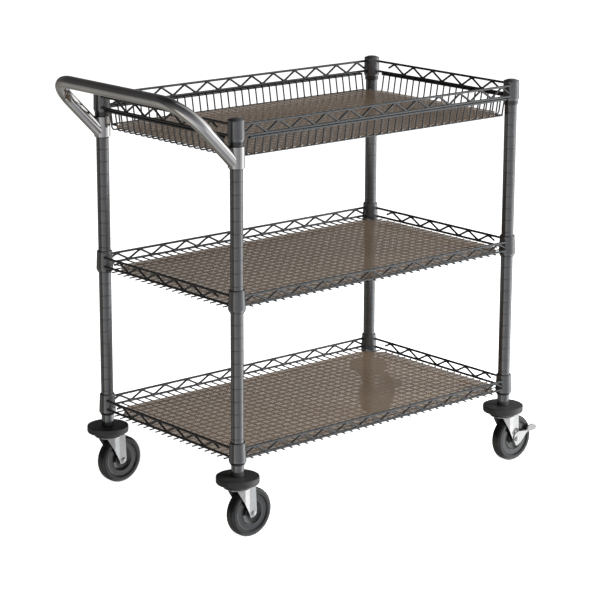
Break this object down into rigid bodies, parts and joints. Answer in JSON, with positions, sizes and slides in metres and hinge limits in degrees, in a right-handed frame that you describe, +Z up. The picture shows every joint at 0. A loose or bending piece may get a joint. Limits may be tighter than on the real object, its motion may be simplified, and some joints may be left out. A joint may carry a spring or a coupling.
{
  "type": "wire shelf cart",
  "caption": "Rolling utility cart with wire shelves on round posts, a wire basket on top, translucent shelf liners, an angled push handle, donut bumpers and swivel casters.",
  "frame": {"origin": "on the floor, under the middle of the cart's outline with all casters trailing towards +X", "axes": "+X along the cart away from the push handle, +Y from the front long side to the rear long side, +Z up"},
  "size_m": [0.9596, 0.515, 0.8811],
  "materials": {
    "grey_epoxy": "satin dark grey metallic epoxy powder coat",
    "chrome": "bright chrome plate",
    "zinc_plate": "bright zinc plate",
    "bumper_rubber": "matte moulded rubber",
    "tyre_rubber": "smooth solid rubber tread",
    "wheel_core": "moulded core",
    "clip_plastic": "moulded nylon",
    "cap_plastic": "moulded plastic",
    "liner_plastic": "translucent smoke brown sheet"
  },
  "bodies": {
    "cart": {"front_left_post": "grey_epoxy", "front_right_post": "grey_epoxy", "rear_left_post": "grey_epoxy", "rear_right_post": "grey_epoxy", "front_left_post_cap": "cap_plastic", "front_right_post_cap": "cap_plastic", "rear_left_post_cap": "cap_plastic", "rear_right_post_cap": "cap_plastic", "front_left_bottom_clip": "clip_plastic", "front_left_middle_clip": "clip_plastic", "front_left_top_clip": "clip_plastic", "front_right_bottom_clip": "clip_plastic", "front_right_middle_clip": "clip_plastic", "front_right_top_clip": "clip_plastic", "rear_left_bottom_clip": "clip_plastic", "rear_left_middle_clip": "clip_plastic", "rear_left_top_clip": "clip_plastic", "rear_right_bottom_clip": "clip_plastic", "rear_right_middle_clip": "clip_plastic", "rear_right_top_clip": "clip_plastic", "front_left_handle_clip": "clip_plastic", "rear_left_handle_clip": "clip_plastic", "bottom_shelf_frame": "grey_epoxy", "middle_shelf_frame": "grey_epoxy", "top_shelf_frame": "grey_epoxy", "bottom_wire_mat": "grey_epoxy", "middle_wire_mat": "grey_epoxy", "top_basket": "grey_epoxy", "bottom_liner": "liner_plastic", "middle_liner": "liner_plastic", "top_liner": "liner_plastic", "push_handle": "chrome", "front_left_bumper": "bumper_rubber", "front_left_caster_stem": "zinc_plate", "front_right_bumper": "bumper_rubber", "front_right_caster_stem": "zinc_plate", "rear_left_bumper": "bumper_rubber", "rear_left_caster_stem": "zinc_plate", "rear_right_bumper": "bumper_rubber", "rear_right_caster_stem": "zinc_plate"},
    "front_left_swivel": {"front_left_fork": "zinc_plate", "front_left_axle_bolt": "zinc_plate"},
    "front_left_wheel": {"front_left_tyre": "tyre_rubber", "front_left_wheel_core": "wheel_core"},
    "front_right_swivel": {"front_right_fork": "zinc_plate", "front_right_axle_bolt": "zinc_plate"},
    "front_right_wheel": {"front_right_tyre": "tyre_rubber", "front_right_wheel_core": "wheel_core"},
    "front_right_brake": {"front_right_brake_lever": "zinc_plate"},
    "rear_left_swivel": {"rear_left_fork": "zinc_plate", "rear_left_axle_bolt": "zinc_plate"},
    "rear_left_wheel": {"rear_left_tyre": "tyre_rubber", "rear_left_wheel_core": "wheel_core"},
    "rear_right_swivel": {"rear_right_fork": "zinc_plate", "rear_right_axle_bolt": "zinc_plate"},
    "rear_right_wheel": {"rear_right_tyre": "tyre_rubber", "rear_right_wheel_core": "wheel_core"},
    "rear_right_brake": {"rear_right_brake_lever": "zinc_plate"}
  },
  "joints": [
    {"name": "front_left_swivel_turn", "type": "hinge", "parent": "cart", "child": "front_left_swivel", "pos_m": [-0.34222, -0.2145, 0.105], "axis": [0, 0, 1], "continuous": true},
    {"name": "front_left_wheel_roll", "type": "hinge", "parent": "front_left_swivel", "child": "front_left_wheel", "pos_m": [-0.31472, -0.2145, 0.05], "axis": [0, 1, 0], "continuous": true},
    {"name": "front_right_swivel_turn", "type": "hinge", "parent": "cart", "child": "front_right_swivel", "pos_m": [0.39178, -0.2145, 0.105], "axis": [0, 0, 1], "continuous": true},
    {"name": "front_right_wheel_roll", "type": "hinge", "parent": "front_right_swivel", "child": "front_right_wheel", "pos_m": [0.41928, -0.2145, 0.05], "axis": [0, 1, 0], "continuous": true},
    {"name": "front_right_brake_press", "type": "hinge", "parent": "front_right_swivel", "child": "front_right_brake", "pos_m": [0.41928, -0.2145, 0.05], "axis": [0, 1, 0], "range_deg": [0, 14]},
    {"name": "rear_left_swivel_turn", "type": "hinge", "parent": "cart", "child": "rear_left_swivel", "pos_m": [-0.34222, 0.2145, 0.105], "axis": [0, 0, 1], "continuous": true},
    {"name": "rear_left_wheel_roll", "type": "hinge", "parent": "rear_left_swivel", "child": "rear_left_wheel", "pos_m": [-0.31472, 0.2145, 0.05], "axis": [0, 1, 0], "continuous": true},
    {"name": "rear_right_swivel_turn", "type": "hinge", "parent": "cart", "child": "rear_right_swivel", "pos_m": [0.39178, 0.2145, 0.105], "axis": [0, 0, 1], "continuous": true},
    {"name": "rear_right_wheel_roll", "type": "hinge", "parent": "rear_right_swivel", "child": "rear_right_wheel", "pos_m": [0.41928, 0.2145, 0.05], "axis": [0, 1, 0], "continuous": true},
    {"name": "rear_right_brake_press", "type": "hinge", "parent": "rear_right_swivel", "child": "rear_right_brake", "pos_m": [0.41928, 0.2145, 0.05], "axis": [0, 1, 0], "range_deg": [0, 14]}
  ]
}
